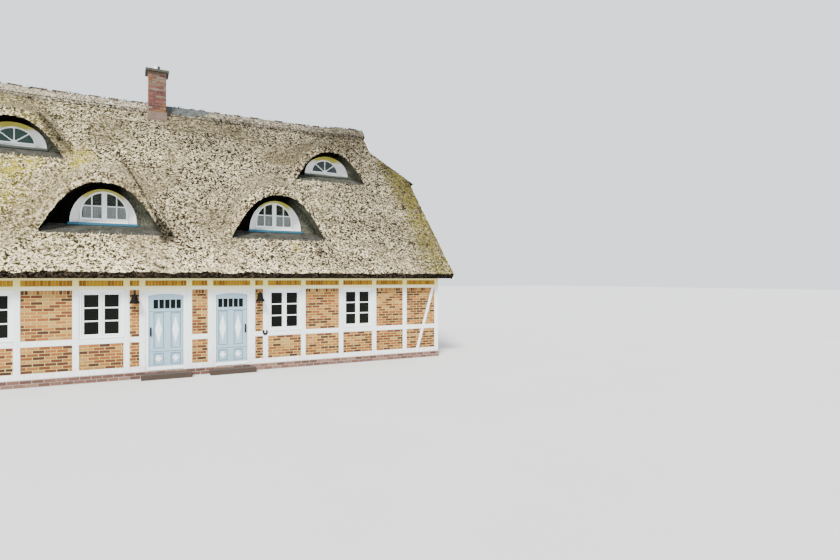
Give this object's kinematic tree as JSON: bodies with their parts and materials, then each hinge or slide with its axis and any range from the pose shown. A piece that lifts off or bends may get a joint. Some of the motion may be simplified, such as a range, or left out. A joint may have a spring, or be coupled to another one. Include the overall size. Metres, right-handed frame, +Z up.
{
  "type": "thatched half-timbered double cottage",
  "caption": "One-and-a-half-storey cottage: white timber frame with brick infill, thatched half-hipped roof, eyebrow dormers, brick chimney and two panelled front doors.",
  "frame": {"origin": "on the ground under the middle of the house, on the underside of the ground floor slab", "axes": "+X runs along the ridge to the right as seen from the front, +Y points to the back, +Z is up; the two doors face -Y"},
  "size_m": [16, 10.84, 9.83],
  "materials": {
    "plinth_brick": "matt",
    "concrete": "rough",
    "floor_boards": "sawn",
    "step_brick": "matt",
    "wall_brick": "matt, light mortar",
    "white_timber": "white paint",
    "window_white": "white gloss paint",
    "glass": "clear",
    "door_paint": "pale blue-grey paint",
    "black_iron": "black paint",
    "thatch": "weathered reed",
    "ridge_thatch": "bundled heather and reed",
    "chimney_brick": "weathered"
  },
  "bodies": {
    "root": {"plinth": "plinth_brick", "chimney_cap": "concrete", "upper_floor": "floor_boards", "loft_floor": "floor_boards", "right_door_step": "step_brick", "left_door_step": "step_brick", "front_wall_right": "wall_brick", "front_wall_left": "wall_brick", "front_pier": "wall_brick", "door_lintel": "wall_brick", "back_wall": "wall_brick", "right_gable_wall": "wall_brick", "left_gable_wall": "wall_brick", "front_frame_right": "white_timber", "front_frame_left": "white_timber", "front_plate": "white_timber", "back_frame": "white_timber", "right_gable_frame": "white_timber", "left_gable_frame": "white_timber", "right_door_frame": "white_timber", "left_door_frame": "white_timber", "right_verge_boards": "white_timber", "left_verge_boards": "white_timber", "right_gablet_boards": "white_timber", "left_gablet_boards": "white_timber", "front_window_right_inner": "window_white", "front_window_right_outer": "window_white", "front_window_left_inner": "window_white", "front_window_left_outer": "window_white", "right_lower_dormer_window": "window_white", "right_upper_dormer_window": "window_white", "left_lower_dormer_window": "window_white", "left_upper_dormer_window": "window_white", "front_glass_right": "glass", "front_glass_left": "glass", "back_glass": "glass", "right_gable_glass_ground": "glass", "right_gable_glass_upper": "glass", "left_gable_glass_ground": "glass", "left_gable_glass_upper": "glass", "right_lower_dormer_glass": "glass", "right_upper_dormer_glass": "glass", "left_lower_dormer_glass": "glass", "left_upper_dormer_glass": "glass", "right_wall_lamp": "black_iron", "left_wall_lamp": "black_iron", "front_thatch_right": "thatch", "front_thatch_left": "thatch", "back_thatch": "thatch", "right_hip_thatch": "thatch", "left_hip_thatch": "thatch", "ridge_cap": "ridge_thatch", "chimney_stack": "chimney_brick", "chimney_head": "chimney_brick"},
    "right_door": {"right_door_leaf": "door_paint", "right_door_glass": "glass", "right_door_handle": "black_iron"},
    "left_door": {"left_door_leaf": "door_paint", "left_door_glass": "glass", "left_door_handle": "black_iron"}
  },
  "joints": [
    {"name": "right_door_hinge", "type": "hinge", "parent": "root", "child": "right_door", "pos_m": [0.4025, -4.818, 0.18], "axis": [0, 0, 1], "range_deg": [0, 95]},
    {"name": "left_door_hinge", "type": "hinge", "parent": "root", "child": "left_door", "pos_m": [-0.4025, -4.818, 0.18], "axis": [0, 0, -1], "range_deg": [0, 95]}
  ]
}
